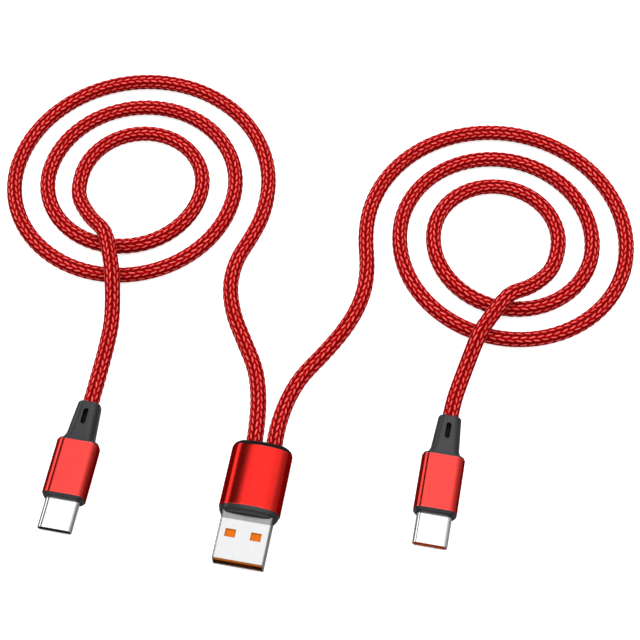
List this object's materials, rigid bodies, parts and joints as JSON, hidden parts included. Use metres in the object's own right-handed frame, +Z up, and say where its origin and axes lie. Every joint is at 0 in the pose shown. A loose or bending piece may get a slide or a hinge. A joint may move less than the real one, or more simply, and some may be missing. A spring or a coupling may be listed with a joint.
{
  "type": "charging cable",
  "caption": "Braided charging cable that joins a wide flat type A plug to small oval type C plugs, with each cord laid in a loose flat spiral coil.",
  "frame": {"origin": "on the surface the cable lies on, under the middle of the type A plug", "axes": "-Y is the direction in which every plug is pushed in, +X is to the right seen from above with the cords leading away, +Z is up from the surface"},
  "size_m": [0.1652, 0.1355, 0.0082],
  "materials": {
    "plug_shell": "bright nickel plated sheet",
    "gold_contact": "gold plated",
    "circuit_board": "green solder mask",
    "solder_tin": "bright tin",
    "inner_mould": "milky moulding",
    "grey_trim": "fine satin dark grey",
    "black_trim": "satin black",
    "red_anodised": "satin red anodised",
    "coral_anodised": "satin coral red anodised",
    "red_braid": "glossy braided nylon yarn",
    "wire_red": "smooth",
    "wire_black": "smooth",
    "wire_green": "smooth",
    "wire_white": "smooth",
    "spring_steel": "sheet spring steel",
    "black_component": "moulded",
    "orange_insulator": "moulded orange",
    "black_insulator": "moulded black"
  },
  "bodies": {
    "root": {"host_shell": "plug_shell", "host_insulator": "orange_insulator", "host_contacts": "gold_contact", "host_board": "circuit_board", "host_solder": "solder_tin", "host_core": "inner_mould", "host_front_bezel": "grey_trim", "host_sleeve": "red_anodised", "host_rear_cap": "black_trim", "host_cord_ends": "red_braid", "host_wire_red": "wire_red", "host_wire_black": "wire_black", "host_wire_green": "wire_green", "host_wire_white": "wire_white", "left_lead": "red_braid", "left_coil": "red_braid", "left_tail": "red_braid", "left_shell": "plug_shell", "left_insulator": "black_insulator", "left_contacts": "gold_contact", "left_latch": "spring_steel", "left_ground_springs": "spring_steel", "left_board": "circuit_board", "left_resistor": "black_component", "left_solder": "solder_tin", "left_core": "inner_mould", "left_front_bezel": "grey_trim", "left_sleeve": "coral_anodised", "left_strain_relief": "grey_trim", "left_cord_end": "red_braid", "left_wire_red": "wire_red", "left_wire_black": "wire_black", "left_wire_green": "wire_green", "left_wire_white": "wire_white", "right_lead": "red_braid", "right_coil": "red_braid", "right_tail": "red_braid", "right_shell": "plug_shell", "right_insulator": "orange_insulator", "right_contacts": "gold_contact", "right_latch": "spring_steel", "right_ground_springs": "spring_steel", "right_board": "circuit_board", "right_resistor": "black_component", "right_solder": "solder_tin", "right_core": "inner_mould", "right_front_bezel": "grey_trim", "right_sleeve": "coral_anodised", "right_strain_relief": "grey_trim", "right_cord_end": "red_braid", "right_wire_red": "wire_red", "right_wire_black": "wire_black", "right_wire_green": "wire_green", "right_wire_white": "wire_white"}
  },
  "joints": []
}
